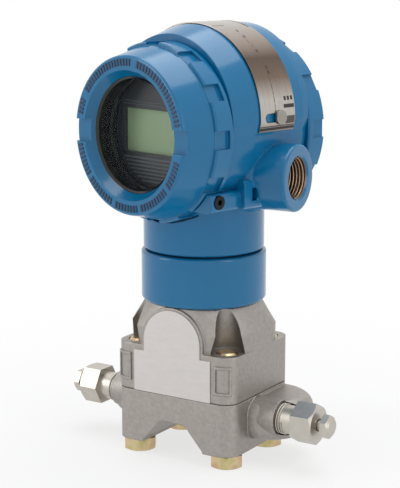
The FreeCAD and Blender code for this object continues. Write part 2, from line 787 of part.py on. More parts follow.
def make_housing():
    """Cast aluminium housing: a crowned barrel with a chamber at each end and a wall between,
    a round neck below, two swept conduit bosses and two lugs under its right side."""
    body = start_body("housing", "housing")
    band = start_sketch(body, "band_section", at=(0, 0, "-rear_band"))
    draw_outline(band, grown(0))
    pad(body, "band", band, "rear_band + band_front")
    front_foot = start_sketch(body, "front_taper_foot", at=(0, 0, "band_front"))
    draw_outline(front_foot, grown(0))
    front_end = start_sketch(body, "front_taper_end", at=(0, 0, "front_face"))
    draw_outline(front_end, egg("front_radius", "front_crown_radius", "front_crown_rise"))
    loft(body, "front_taper", front_foot, front_end)
    rear_foot = start_sketch(body, "rear_taper_foot", at=(0, 0, "-rear_band"))
    draw_outline(rear_foot, grown(0))
    rear_end = start_sketch(body, "rear_taper_end", at=(0, 0, "-rear_face"))
    draw_outline(rear_end, egg("rear_radius", "rear_crown_radius", "rear_crown_rise"))
    loft(body, "rear_taper", rear_foot, rear_end)
    turned(body, "neck", [
        ("0", "-neck_length"), ("neck_radius - neck_round", "-neck_length"),
        ("neck_radius", "neck_round - neck_length", "neck_round"),
        ("neck_radius", "-chamber_radius / 2"), ("0", "-chamber_radius / 2"),
    ], about="Y")
    for side, name in ((1, "right"), (-1, "left")):
        mouth = (signed(side, "conduit_side"), "-conduit_drop", "-conduit_setback")
        lean = signed(side, "90 - conduit_sweep")
        flare = "conduit_boss_radius + conduit_flare"
        turned(body, name + "_boss", [
            ("0", "0"), ("conduit_boss_radius - conduit_chamfer", "0"),
            ("conduit_boss_radius", "conduit_chamfer", "conduit_chamfer"),
            ("conduit_boss_radius", "conduit_boss_length / 2"), (flare, "conduit_boss_length"),
            ("0", "conduit_boss_length"),
        ], mouth, lean)
    lug(body, "jam_lug", "lug_outer", "lug_top", "jam_lug_back", "jam_lug_front - jam_lug_back")
    lug(body, "ground_lug", "ground_lug_outer", "ground_lug_top", "-ground_lug_back",
        "ground_lug_front + ground_lug_back")
    cylinder(body, "front_cover_room", "cover_ring_radius + cover_room", "60", (0, 0, "front_face"), cut=True)
    cylinder(body, "rear_cover_room", "rear_cover_ring_radius + cover_room", "60",
             (0, 0, "-rear_face - 60"), cut=True)
    # Chambers, threaded mouths and the wire ways between them.
    cylinder(body, "front_chamber", "chamber_radius", "front_face + divider_front + 1",
             (0, 0, "-divider_front"), cut=True)
    cylinder(body, "front_thread", "cover_thread_radius", "thread_depth + 1",
             (0, 0, "front_face - thread_depth"), cut=True)
    cylinder(body, "rear_chamber", "chamber_radius", "rear_face - divider_back + 1",
             (0, 0, "-rear_face - 1"), cut=True)
    cylinder(body, "rear_thread", "cover_thread_radius", "thread_depth + 1",
             (0, 0, "-rear_face - 1"), cut=True)
    cylinder(body, "divider_wire_hole", "wire_hole_radius", "divider_thickness + 2",
             (0, "-chamber_radius + wire_hole_radius + 2", "-divider_back - 1"), cut=True)
    cylinder(body, "neck_bore", "neck_bore_radius", "neck_bore_depth + 1",
             (0, "-neck_length - 1", 0), ALONG_Y, cut=True)
    cylinder(body, "neck_wire_hole", "wire_hole_radius", "neck_length - chamber_radius + 2",
             (0, "-neck_length", "wire_hole_radius + 2"), ALONG_Y, cut=True)
    for side, name in ((1, "right"), (-1, "left")):
        mouth = (signed(side, "conduit_side"), "-conduit_drop", "-conduit_setback")
        lean = signed(side, "90 - conduit_sweep")
        turned(body, name + "_conduit_bore", [
            ("0", "-1"), ("conduit_bore_radius + conduit_chamfer", "-1"),
            ("conduit_bore_radius + conduit_chamfer", "0"), ("conduit_bore_radius", "conduit_chamfer"),
            ("conduit_bore_radius", "conduit_bore_depth"), ("0", "conduit_bore_depth"),
        ], mouth, lean, cut=True)
        out = (ALONG_X, AGAINST_X)[side < 0]
        throat = (signed(side, "chamber_radius / 2"), "-conduit_drop", "-divider_back - throat_radius - 1")
        cylinder(body, name + "_throat", "throat_radius", "conduit_side - 14 - chamber_radius / 2",
                 throat, out, cut=True)
        foot = (signed(side, "crown_radius - plate_screw_length"), "plate_screw_rise", "-plate_screw_z")
        cylinder(body, name + "_plate_screw_hole", "plate_screw_radius + 0.15", "plate_screw_length + 6",
                 foot, out, cut=True)
        cylinder(body, name + "_button_hole", "button_radius + button_clearance", "20",
                 (signed(side, "button_spacing / 2"), "button_floor", "button_z"), ALONG_Y, cut=True)
    cylinder(body, "jam_screw_hole", "jam_screw_radius + 0.1", "20",
             ("chamber_radius - 4", "-jam_screw_drop", "jam_screw_z"), ALONG_X, cut=True)
    rise, width = "ground_hole_height / 2", "ground_hole_width / 2"
    block(body, "ground_hole", ("lug_inner + 3", "ground_hole_y - " + rise, "ground_hole_z - " + width),
          ("ground_lug_outer + 1", "ground_hole_y + " + rise, "ground_hole_z + " + width), cut=True)
    cylinder(body, "set_screw_hole", "set_screw_radius + set_screw_clearance", "20",
             (0, "set_screw_rise - neck_length", "-neck_radius - 4"), cut=True)
    return body


# ---- covers ----

def cover_skin(seat, end, edge, cap):
    """Profile of a cover's outside: threaded skirt, seal groove, ring of radius edge, and cap."""
    seat, room = "(%s)" % seat, "cover_ring_chamfer"
    return [
        ("cover_skirt_radius", seat + " - cover_skirt_length"),
        ("skirt_radius - 0.8", seat + " - cover_skirt_length"),
        ("skirt_radius", seat + " - cover_skirt_length + 0.8"), ("skirt_radius", seat + " - oring_room"),
        ("oring_seat", seat + " - oring_room"), ("oring_seat", seat),
        (edge + " - " + room, seat), (edge, seat + " + " + room),
        (edge, seat + " + cover_ring_width - " + room), (edge + " - " + room, seat + " + cover_ring_width"),
        ("cover_neck_radius", seat + " + cover_ring_width"),
        (cap, end + " - rim_round"), (cap + " - rim_round", end, "rim_round"),
    ]


def castellate(body, seat, edge):
    """Shallow pockets round the cover's ring, for turning it with a tool."""
    low = (edge + " - castellation_depth", "-castellation_width / 2", seat + " + 3")
    high = (edge + " + 1", "castellation_width / 2", seat + " + cover_ring_width + 1")
    first = block(body, "castellation", low, high, cut=True)
    around(body, "castellation_ring", [first], "castellations")


def make_front_cover():
    """Display cover: threaded skirt, castellated ring, and a slotted rim round a sunk window."""
    body = start_body("front_cover", "housing")
    end = "front_cover_reach"
    lip, seat = "glass_back + glass_thickness", "glass_radius + glass_gap"
    turned(body, "shell", cover_skin("front_seat", end, "cover_ring_radius", "cover_rim_radius") + [
        ("rim_inner_radius", end), ("window_radius + 1", end + " - window_recess"),
        ("window_radius", end + " - window_recess - 0.8"), ("window_radius", lip), (seat, lip),
        (seat, "glass_back - retainer_thickness - 2"),
        ("cover_skirt_radius", "glass_back - retainer_thickness - 5"),
    ])
    castellate(body, "front_seat", "cover_ring_radius")
    for side, name in ((1, "right"), (-1, "left")):
        inner, outer = signed(side, "window_radius + 2"), signed(side, "cover_ring_radius")
        ends = (inner, outer) if side > 0 else (outer, inner)
        block(body, name + "_rim_slot", (ends[0], "-rim_slot_width / 2", end + " - rim_slot_depth"),
              (ends[1], "rim_slot_width / 2", end + " + 1"), cut=True)
    return body


def make_rear_cover():
    """Terminal cover: the same skirt and ring under a closed, dished cap."""
    body = start_body("rear_cover", "rear")
    end = "rear_cover_reach"
    turned(body, "shell", cover_skin("rear_seat", end, "rear_cover_ring_radius", "rear_cap_radius") + [
        ("rear_dish_radius + 1", end), ("rear_dish_radius - 1", end + " - rear_dish_depth"),
        ("0", end + " - rear_dish_depth"), ("0", end + " - rear_dish_depth - cover_cap_wall"),
        ("cover_skirt_radius - 3", end + " - rear_dish_depth - cover_cap_wall"),
        ("cover_skirt_radius", end + " - rear_dish_depth - cover_cap_wall - 3"),
    ])
    castellate(body, "rear_seat", "rear_cover_ring_radius")
    return body


def make_cover_glass():
    body = start_body("front_cover_glass", "housing")
    front = "glass_back + glass_thickness - 0.05"
    turned(body, "glass", [("0", "glass_back"), ("glass_radius - 0.5", "glass_back"),
           ("glass_radius", "glass_back + 0.5"), ("glass_radius", front), ("0", front)])
    return body


def make_glass_retainer():
    """Ring behind the glass that holds it against the cover's lip."""
    body = start_body("glass_retainer", "housing")
    ring(body, "retainer", "glass_radius - retainer_width", "glass_radius - 0.02",
         "glass_back - retainer_thickness", "glass_back")
    return body


def make_oring(label, frame, seat):
    """Round-section ring under the cover's ring, in the mouth of its thread."""
    body = start_body(label, frame)
    torus = body.newObject("PartDesign::AdditiveTorus", "seal")
    attach(torus, body, "XY_Plane", (0, 0, seat + " - cover_gap - oring_section - oring_gap"), ALONG_Z)
    bind(torus, "Radius1", "oring_seat + oring_section + oring_gap / 2")
    bind(torus, "Radius2", "oring_section")
    return body


# ---- display and electronics ----

def make_bezel():
    """Moulded display housing: a round cup with a window for the panel."""
    body = start_body("display_bezel", "housing")
    low, high = "display_board_back + board_thickness", "bezel_front"
    turned(body, "cup", [
        ("0", low), ("bezel_radius", low), ("bezel_radius", high + " - bezel_round"),
        ("bezel_radius - bezel_round", high, "bezel_round"), ("0", high),
    ])
    inside, roof = "bezel_radius - bezel_wall", high + " - bezel_wall - lcd_depth"
    turned(body, "hollow", [("0", low + " - 1"), (inside, low + " - 1"), (inside, roof), ("0", roof)],
           cut=True)
    window = start_sketch(body, "window_outline", at=(0, 0, high + " + 1"))
    draw_outline(window, rounded("lcd_width / 2", "lcd_height / 2", "1.2"))
    pocket(body, "window", window, "bezel_wall + lcd_depth + 2")
    return body


def make_lcd():
    body = start_body("display_panel", "housing")
    high = "bezel_front - lcd_depth - bezel_wall"
    half_x, half_y = "lcd_width / 2 + lcd_margin", "lcd_height / 2 + lcd_margin"
    block(body, "panel", ("-(%s)" % half_x, "-(%s)" % half_y, high + " - lcd_thickness"),
          (half_x, half_y, high))
    return body


def make_disc_board(label, radius, back):
    """Round circuit board with a flat at its foot for the wires."""
    body = start_body(label, "housing")
    cylinder(body, "board", radius, "board_thickness", (0, 0, back))
    block(body, "wire_flat", ("-" + radius, "-" + radius + " - 1", back + " - 1"),
          (radius, "-" + radius + " + wire_flat", back + " + board_thickness + 1"), cut=True)
    return body


def make_standoffs():
    """Three pillars that hold the electronics board off the housing's wall."""
    bodies = []
    for i in range(3):
        body = start_body("board_standoff_%d" % (i + 1), "housing")
        angle = "%d deg" % (90 + 120 * i)
        place = ("standoff_circle * cos(%s)" % angle, "standoff_circle * sin(%s)" % angle, "-divider_front")
        cylinder(body, "pillar", "standoff_radius", "electronics_board_back + divider_front", place)
        bodies.append(body)
    return bodies


def make_display_mount():
    """Two long pillars that carry the display on the electronics board."""
    bodies = []
    back = "electronics_board_back + board_thickness"
    for side, name in ((1, "right"), (-1, "left")):
        body = start_body("display_pillar_" + name, "housing")
        cylinder(body, "pillar", "standoff_radius", "display_board_back - (%s)" % back,
                 (signed(side, "display_pillar_x"), 0, back))
        bodies.append(body)
    return bodies


def make_terminal_block():
    """Moulded block on the wall of the rear chamber, with a sunk seat for each screw."""
    body = start_body("terminal_block", "rear")
    high = "divider_back + terminal_block_thickness"
    cylinder(body, "moulding", "terminal_block_radius", "terminal_block_thickness", (0, 0, "divider_back"))
    block(body, "foot_flat", ("-terminal_block_radius", "-terminal_block_radius", "divider_back - 1"),
          ("terminal_block_radius", "-terminal_foot", high + " + 1"), cut=True)
    for i, x in enumerate((-1, 0, 1)):
        place = (signed(x, "terminal_spacing"), "terminal_rise", high + " - terminal_recess_depth")
        cylinder(body, "seat_%d" % (i + 1), "terminal_recess_radius", "terminal_recess_depth + 1",
                 place, cut=True)
    return body


def make_pan_screw(label, frame, place, head, height, shank=None, length=None, turn=ALONG_Z):
    """Slotted pan-head screw standing at place, with its head towards the turned Z axis."""
    body = start_body(label, frame)
    cylinder(body, "head", head, height, place, turn)
    if shank:
        cylinder(body, "shank", shank, length, place, REVERSED[turn])
    return body


REVERSED = {ALONG_X: AGAINST_X, AGAINST_X: ALONG_X, ALONG_Z: "0; 180; 0"}


# ---- name plate and small pieces ----

def make_name_plate():
    """Metal plate bent over the crown, with a slot at each foot in which it slides on its screw."""
    body = start_body("name_plate", "housing")
    outer = start_sketch(body, "outer_section", at=(0, 0, "-plate_rear"))
    draw_outline(outer, grown("plate_gap + plate_thickness"))
    pad(body, "skin", outer, "plate_rear + plate_front")
    inner = start_sketch(body, "inner_section", at=(0, 0, "plate_front + 1"))
    draw_outline(inner, grown("plate_gap"))
    pocket(body, "inside", inner, "plate_rear + plate_front + 2")
    reach = "crown_radius + 10"
    block(body, "below", ("-(%s)" % reach, "-(%s)" % reach, "-plate_rear - 1"),
          (reach, "plate_foot", "plate_front + 1"), cut=True)
    half, back = "(plate_screw_radius + plate_slot_clearance)", "-plate_screw_z"
    slot = start_sketch(body, "slot_outline", "YZ_Plane", ("plate_screw_rise", back, "-(%s)" % reach))
    draw_outline(slot, [
        (half, "0", half), (half, "plate_travel"), ("0", "plate_travel + " + half, half),
        ("-" + half, "plate_travel", half), ("-" + half, "0"), ("0", "-" + half, half),
    ])
    pocket(body, "slots", slot, "2 * (%s)" % reach, back=True)
    return body


def make_plate_screw(name, side):
    turn = (ALONG_X, AGAINST_X)[side < 0]
    under_head = "crown_radius + plate_gap + plate_thickness + 0.12"
    place = (signed(side, under_head), "plate_screw_rise", "-plate_screw_z")
    return make_pan_screw("name_plate_screw_" + name, "housing", place, "plate_screw_head",
                          "plate_screw_head_height", "plate_screw_radius", "plate_screw_length", turn)


def make_button(label, side):
    """Sprung push button in a hole under the name plate."""
    body = start_body(label, "housing")
    place = (signed(side, "button_spacing / 2"), "button_top - button_length", "button_z")
    cylinder(body, "plunger", "button_radius", "button_length", place, ALONG_Y)
    slot = signed(side, "button_spacing / 2")
    block(body, "driver_slot", (slot + " - 2 * button_radius", "button_top - 0.8", "button_z - 0.4"),
          (slot + " + 2 * button_radius", "button_top + 1", "button_z + 0.4"), cut=True)
    return body


def make_conduit_plug():
    """Plug in the left conduit entry, sunk below its mouth, with a hexagon socket."""
    body = start_body("conduit_plug", "housing")
    mouth, lean = ("-conduit_side", "-conduit_drop", "-conduit_setback"), "conduit_sweep - 90"
    low, high = "plug_recess", "conduit_bore_depth - 0.5"
    radius = "conduit_bore_radius - plug_clearance"
    turned(body, "plug", [
        ("0", low), (radius + " - 1", low), (radius, low + " + 1"), (radius, high + " - 1"),
        (radius + " - 1", high), ("0", high),
    ], mouth, lean)
    foot, sweep = "(plug_recess + plug_socket_depth)", "conduit_sweep * 1 deg"
    place = ("%s * cos(%s) - conduit_side" % (foot, sweep), "-conduit_drop",
             "%s * sin(%s) - conduit_setback" % (foot, sweep))
    hexagon(body, "socket", "plug_socket_flats", "plug_socket_depth + 1", place,
            "0; -90 - conduit_sweep; 0", cut=True)
    return body


def make_jam_screw():
    """Set screw in the front lug that bears on the front cover's ring."""
    body = start_body("cover_jam_screw", "housing")
    start = "sqrt(cover_ring_radius ^ 2 - (jam_screw_drop - jam_screw_radius) ^ 2) + 0.3"
    place = (start, "-jam_screw_drop", "jam_screw_z")
    cylinder(body, "shank", "jam_screw_radius", "jam_screw_length", place, ALONG_X)
    socket = (start + " + jam_screw_length - 2", "-jam_screw_drop", "jam_screw_z")
    hexagon(body, "socket", "screw_socket_flats", "3", socket, ALONG_X, cut=True)
    return body


def make_set_screw():
    """Set screw at the back of the neck that locks the housing on the spigot."""
    body = start_body("housing_set_screw", "housing")
    tip = "spigot_radius + 0.6"
    place = (0, "set_screw_rise - neck_length", "-(%s) - set_screw_length" % tip)
    cylinder(body, "shank", "set_screw_radius", "set_screw_length", place)
    socket = (0, "set_screw_rise - neck_length", "-(%s) - set_screw_length - 1" % tip)
    hexagon(body, "socket", "screw_socket_flats", "3", socket, cut=True)
    return body


def make_pieces():
    pieces = [make_flange()]
    for index, (x, y) in enumerate(((-1, -1), (1, -1), (1, 1), (-1, 1)), start=1):
        pieces.append(make_flange_bolt(index, x, y))
    for name, side, spin in (("high", 1, ALONG_Z), ("low", -1, "30; 0; 0")):
        pieces += [make_vent_seat(name, spin), make_vent_stem(name, spin)]
        pieces += [make_seal(name, side), make_isolator(name, side)]
    pieces += [make_module(), make_module_label(), make_pressure_cell(), make_sensor_board()]
    pieces += [make_collar(), make_neck_seal(), make_housing(), make_set_screw()]
    pieces += [make_front_cover(), make_cover_glass(), make_glass_retainer()]
    pieces.append(make_oring("front_cover_oring", "housing", "front_seat"))
    pieces += [make_rear_cover(), make_oring("rear_cover_oring", "rear", "rear_seat"), make_jam_screw()]
    pieces += [make_bezel(), make_lcd()]
    pieces.append(make_disc_board("display_board", "bezel_radius", "display_board_back"))
    pieces.append(make_disc_board("electronics_board", "electronics_board_radius",
                                  "electronics_board_back"))
    pieces += make_standoffs() + make_display_mount() + [make_terminal_block()]
    for i, x in enumerate((-1, 0, 1)):
        place = (signed(x, "terminal_spacing"), "terminal_rise",
                 "divider_back + terminal_block_thickness - terminal_recess_depth")
        pieces.append(make_pan_screw("terminal_screw_%d" % (i + 1), "rear", place,
                                     "terminal_screw_radius", "terminal_screw_height"))
    place = ("0", "-terminal_foot - ground_screw_radius - 1.5", "divider_back")
    pieces.append(make_pan_screw("ground_screw", "rear", place, "ground_screw_radius", "ground_screw_height"))
    pieces.append(make_name_plate())
    for name, side in (("right", 1), ("left", -1)):
        pieces.append(make_plate_screw(name, side))
    pieces += [make_button("zero_button", -1), make_button("span_button", 1), make_conduit_plug()]
    return pieces


def check(pieces):
    """Stops with the name of any feature that failed and any piece that isn't a sound solid."""
    faults = [item.Name for item in doc.Objects if {"Invalid", "Error"} & set(item.State)]
    for piece in pieces:
        shape = piece.Shape
        if shape.isNull() or not shape.isValid() or len(shape.Solids) != 1:
            faults.append(piece.Label)
    if faults:
        raise RuntimeError("not sound: " + ", ".join(faults))


pieces = make_pieces()
doc.recompute()
check(pieces)
os.makedirs("parts", exist_ok=True)
for piece in pieces:
    piece.Shape.exportStep("parts/%s.step" % piece.Label)
    print("%-24s %9.0f mm3" % (piece.Label, piece.Shape.Volume))
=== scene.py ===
import json
import math

import bmesh
import bpy
from mathutils import Matrix, Vector
from mathutils.bvhtree import BVHTree


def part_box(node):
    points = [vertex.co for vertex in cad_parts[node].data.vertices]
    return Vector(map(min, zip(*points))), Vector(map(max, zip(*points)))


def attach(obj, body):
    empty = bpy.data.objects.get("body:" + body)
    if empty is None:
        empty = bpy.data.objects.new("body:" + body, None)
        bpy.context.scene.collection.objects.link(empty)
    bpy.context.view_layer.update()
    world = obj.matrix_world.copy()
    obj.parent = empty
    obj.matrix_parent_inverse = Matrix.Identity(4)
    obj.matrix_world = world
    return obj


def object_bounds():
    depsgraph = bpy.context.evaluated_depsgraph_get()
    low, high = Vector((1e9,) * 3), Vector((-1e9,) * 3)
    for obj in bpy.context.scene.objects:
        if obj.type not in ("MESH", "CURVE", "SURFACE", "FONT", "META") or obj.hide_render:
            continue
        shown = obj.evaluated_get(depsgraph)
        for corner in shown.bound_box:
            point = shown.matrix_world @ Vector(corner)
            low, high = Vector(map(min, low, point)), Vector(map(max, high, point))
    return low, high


# A differential pressure transmitter: blue enamelled electronics housing on a cast steel
# sensor module and flange.  Metres, in the part frame: +Z up, +X towards the high-pressure side.

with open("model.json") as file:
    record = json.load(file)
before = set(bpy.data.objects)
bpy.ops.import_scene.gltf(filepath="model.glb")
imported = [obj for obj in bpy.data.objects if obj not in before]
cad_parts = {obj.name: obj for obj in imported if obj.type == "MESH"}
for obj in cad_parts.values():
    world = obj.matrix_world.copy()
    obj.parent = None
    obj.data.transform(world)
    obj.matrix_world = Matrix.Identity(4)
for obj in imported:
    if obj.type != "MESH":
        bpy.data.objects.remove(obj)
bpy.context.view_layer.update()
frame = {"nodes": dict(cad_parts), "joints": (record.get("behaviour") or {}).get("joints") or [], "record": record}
nodes = frame["nodes"]

MM = 0.001
joints = {joint["name"]: joint for joint in frame["joints"]}
mounts = {mount["name"]: mount for mount in frame["record"]["mounts"]}


def axes(right, up, out, origin):
    """Matrix from a piece's own axes to the part frame."""
    turned = Matrix((right, up, out)).transposed().to_4x4()
    return Matrix.Translation(origin) @ turned


def along_axis(axis, origin):
    """Matrix that lays a piece's own Z along an axis of the part frame."""
    return Matrix.Translation(origin) @ axis.to_track_quat("Z", "Y").to_matrix().to_4x4()


def reach(name, direction, origin):
    """Lowest and highest distance of a node from an origin along a direction."""
    along = [(vertex.co - origin).dot(direction) for vertex in nodes[name].data.vertices]
    return min(along), max(along)


# The housing's own axes: X to the display's right, Y up, Z out of the display.
UP = Vector((0, 0, 1))
OUT = Vector(joints["front_cover_turn"]["axis"]).normalized()
RIGHT = UP.cross(OUT)
CENTRE = Vector((0, 0, joints["front_cover_turn"]["pos_m"][2]))
HOUSING = axes(RIGHT, UP, OUT, CENTRE)

# ---- colours, nodes and materials ----


def linear(text):
    """An sRGB hex colour as linear light."""
    parts = [int(text[i:i + 2], 16) / 255 for i in (0, 2, 4)]
    return [p / 12.92 if p <= 0.04045 else ((p + 0.055) / 1.055) ** 2.4 for p in parts] + [1.0]


def add(tree, kind, inputs={}, **settings):
    """Adds a node, makes its settings, and fills its inputs with values or other nodes' outputs."""
    made = tree.nodes.new(kind)
    for name, value in settings.items():
        setattr(made, name, value)
    for name, value in inputs.items():
        source = value.outputs[0] if isinstance(value, bpy.types.Node) else value
        if isinstance(source, bpy.types.NodeSocket):
            tree.links.new(source, made.inputs[name])
        else:
            made.inputs[name].default_value = source
    return made


def new_material(name, **values):
    """A Principled material with its plain values set on the shader's own sockets."""
    material = bpy.data.materials.new(name)
    material.use_nodes = True
    tree = material.node_tree
    shader = tree.nodes["Principled BSDF"]
    for key, value in values.items():
        shader.inputs[key.replace("_", " ")].default_value = value
    return material, tree, shader


def place(tree, scale=(1, 1, 1), turn=(0, 0, 0)):
    """Object coordinates in millimetres, turned by a Mapping node."""
    coordinates = add(tree, "ShaderNodeTexCoord").outputs["Object"]
    size = [1000 * s for s in scale]
    return add(tree, "ShaderNodeMapping", {"Vector": coordinates, "Rotation": turn, "Scale": size})


def mottle(tree, shader, where, dark, light, size, detail=3.0):
    """Slow change between two colours over patches of the given size in millimetres."""
    noise = add(tree, "ShaderNodeTexNoise", {"Vector": where, "Scale": 1 / size, "Detail": detail})
    mix = add(tree, "ShaderNodeMix", {0: noise, 6: linear(dark), 7: linear(light)}, data_type="RGBA")
    tree.links.new(mix.outputs[2], shader.inputs["Base Color"])


def roughen(tree, shader, where, size, low, high):
    """Roughness that wanders between two values over patches of the given size."""
    noise = add(tree, "ShaderNodeTexNoise", {"Vector": where, "Scale": 1 / size, "Detail": 2.0})
    spread = add(tree, "ShaderNodeMapRange", {"Value": noise, "To Min": low, "To Max": high})
    tree.links.new(spread.outputs[0], shader.inputs["Roughness"])


def bump(tree, shader, height, depth, edge=0.0):
    """Bump of the given depth in millimetres over edges that look rounded by edge millimetres."""
    made = add(tree, "ShaderNodeBump", {"Height": height, "Strength": 1.0, "Distance": depth * MM})
    if edge:
        rounded = add(tree, "ShaderNodeBevel", {"Radius": edge * MM}, samples=6)
        tree.links.new(rounded.outputs[0], made.inputs["Normal"])
    tree.links.new(made.outputs[0], shader.inputs["Normal"])


def enamel(name, edge=0.5):
    """Gloss polyurethane enamel sprayed on cast aluminium: smooth, with a faint orange peel."""
    material, tree, shader = new_material(name, Roughness=0.2, IOR=1.45, Coat_Weight=0.1, Coat_Roughness=0.04)
    where = place(tree)
    mottle(tree, shader, where, "006C9E", "0674A6", 25)
    roughen(tree, shader, where, 12, 0.14, 0.22)
    # The waves of the orange peel are about 1.8 mm long.
    peel = add(tree, "ShaderNodeTexNoise", {"Vector": where, "Scale": 0.55, "Detail": 1.0})
    bump(tree, shader, peel, 0.035, edge)
    return material


def cast_stainless():
    """Investment-cast stainless steel, bead blasted: satin warm grey with a fine grit."""
    material, tree, shader = new_material("blasted_cast_stainless_steel", Metallic=1.0, Roughness=0.45)
    where = place(tree)
    mottle(tree, shader, where, "928D88", "B1ABA6", 2.0, 6)
    roughen(tree, shader, where, 6, 0.42, 0.56)
    # Grit of 0.2 mm, drawn at about 1.1 mm so that it shows.
    grit = add(tree, "ShaderNodeTexNoise", {"Vector": where, "Scale": 0.9, "Detail": 5.0})
    bump(tree, shader, grit, 0.16, 0.9)
    return material


def turned_metal(name, spacing, along, dark="B5AFA6", light="CAC5BC", roughness=0.36):
    """Turned metal, stainless steel unless told otherwise: bright, with fine tool marks round its axis."""
    material, tree, shader = new_material(name, Metallic=1.0, Roughness=roughness)
    where = place(tree)
    mottle(tree, shader, where, dark, light, 5)
    marks = add(tree, "ShaderNodeTexWave", {"Vector": where, "Scale": 0.31 / spacing, "Distortion": 0.6},
                bands_direction=along)
    bump(tree, shader, marks.outputs["Fac"], 0.006, 0.12)
    return material


def yellow_zinc():
    """Zinc plating with a yellow chromate: gold with a faint pink and green bloom."""
    material, tree, shader = new_material("yellow_chromate_zinc_plating", Metallic=1.0, Roughness=0.3)
    where = place(tree)
    bloom = add(tree, "ShaderNodeTexNoise", {"Vector": where, "Scale": 0.12, "Detail": 2.0})
    ramp = add(tree, "ShaderNodeValToRGB", {"Fac": bloom})
    pink, green = ramp.color_ramp.elements
    pink.position, pink.color = 0.35, linear("C9A98C")
    green.position, green.color = 0.68, linear("B9AE74")
    ramp.color_ramp.elements.new(0.5).color = linear("D2C096")
    tree.links.new(ramp.outputs[0], shader.inputs["Base Color"])
    grain = add(tree, "ShaderNodeTexNoise", {"Vector": where, "Scale": 2.0, "Detail": 3.0})
    bump(tree, shader, grain, 0.03, 0.5)
    return material


def etched_label():
    """Etched aluminium label: matt silver with a faint rolled grain."""
    material, tree, shader = new_material("etched_aluminium_label", Metallic=0.7, Roughness=0.5)
    where = place(tree, scale=(1, 1, 4))
    mottle(tree, shader, where, "C9C5C1", "D6D1CE", 8, 4)
    grain = add(tree, "ShaderNodeTexNoise", {"Vector": where, "Scale": 2.0, "Detail": 3.0})
    bump(tree, shader, grain, 0.02, 0.2)
    return material


def brushed_plate():
    """Stainless sheet brushed along its length, with painted reflection and painted shade in its colour: bright over
    the crown and feet, brown between.
    """
    material, tree, shader = new_material("brushed_stainless_sheet", Metallic=1.0, Roughness=0.3)
    where = place(tree, turn=(0, 0, math.atan2(-RIGHT.y, RIGHT.x)))
    # Scratches follow the bend, so they are long in X and Z and narrow along the barrel.
    scratch = add(tree, "ShaderNodeMapping", {"Vector": where, "Scale": (0.08, 3.0, 0.08)})
    lines = add(tree, "ShaderNodeTexNoise", {"Vector": scratch, "Scale": 1.0, "Detail": 4.0})
    # Painted reflection and shade by height: the colour is bright over the crown and near the feet, and browner between
    # them, where the housing's flank shades the sheet.
    height = add(tree, "ShaderNodeSeparateXYZ", {0: add(tree, "ShaderNodeTexCoord").outputs["Object"]})
    low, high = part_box("name_plate")[0].z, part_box("name_plate")[1].z
    share = add(tree, "ShaderNodeMapRange", {"Value": height.outputs["Z"], "From Min": low, "From Max": high})
    painted_light_tint = add(tree, "ShaderNodeValToRGB", {"Fac": share})
    painted_light_tint.color_ramp.elements[0].color = linear("9A918A")
    painted_light_tint.color_ramp.elements[1].color = linear("C9C3BC")
    painted_light_stops = ((0.1, "CBC5BE"), (0.3, "CDC7C0"), (0.5, "877568"), (0.68, "695B50"), (0.85, "A4978C"))
    for position, colour in painted_light_stops:
        painted_light_tint.color_ramp.elements.new(position).color = linear(colour)
    grain = add(tree, "ShaderNodeMix", {0: lines, 6: linear("C8C8C8"), 7: linear("FFFFFF")}, data_type="RGBA")
    both = add(tree, "ShaderNodeMix", {0: 1.0, 6: painted_light_tint, 7: grain.outputs[2]},
               data_type="RGBA", blend_type="MULTIPLY")
    tree.links.new(both.outputs[2], shader.inputs["Base Color"])
    spread = add(tree, "ShaderNodeMapRange", {"Value": lines, "To Min": 0.24, "To Max": 0.36})
    tree.links.new(spread.outputs[0], shader.inputs["Roughness"])
    bump(tree, shader, lines, 0.01, 0.15)
    return material


def polymer(name, dark, light, roughness, grain=0.8, depth=0.02, edge=0.3, ior=1.5):
    """Moulded plastic, rubber or resin with a fine moulded grain."""
    material, tree, shader = new_material(name, Roughness=roughness, IOR=ior)
    where = place(tree)
    mottle(tree, shader, where, dark, light, 6)
    texture = add(tree, "ShaderNodeTexNoise", {"Vector": where, "Scale": 1 / grain, "Detail": 2.0})
    bump(tree, shader, texture, depth, edge)
    return material


def circuit_board():
    """Glass epoxy board under green solder mask, with copper areas that show as paler patches."""
    material, tree, shader = new_material("solder_masked_epoxy_board", Roughness=0.3)
    where = place(tree)
    cells = add(tree, "ShaderNodeTexVoronoi", {"Vector": where, "Scale": 0.25}, distance="MANHATTAN")
    edge = add(tree, "ShaderNodeMath", {0: cells.outputs["Distance"], 1: 0.55}, operation="GREATER_THAN")
    mix = add(tree, "ShaderNodeMix", {0: edge, 6: linear("17502B"), 7: linear("2A6B3C")}, data_type="RGBA")
    tree.links.new(mix.outputs[2], shader.inputs["Base Color"])
    bump(tree, shader, edge, 0.03)
    return material


def window_glass():
    """Clear toughened glass: nearly all light goes through, with a faint cool film."""
    material, tree, shader = new_material("toughened_window_glass", Roughness=0.03, Alpha=0.03, IOR=1.5)
    where = place(tree)
    mottle(tree, shader, where, "8E9AA2", "A2ADB4", 30)
    material.surface_render_method = "BLENDED"
    return material


def display_film():
    """Reflective liquid crystal film: grey-green, mottled."""
    material, tree, shader = new_material("liquid_crystal_film", Roughness=0.35, IOR=1.5)
    where = place(tree)
    mottle(tree, shader, where, "94B086", "9EB88E", 18)
    # Pixel rows of 0.3 mm, drawn at 0.9 mm.
    rows = add(tree, "ShaderNodeTexWave", {"Vector": where, "Scale": 0.34}, bands_direction="Z")
    bump(tree, shader, rows.outputs["Fac"], 0.004)
    return material


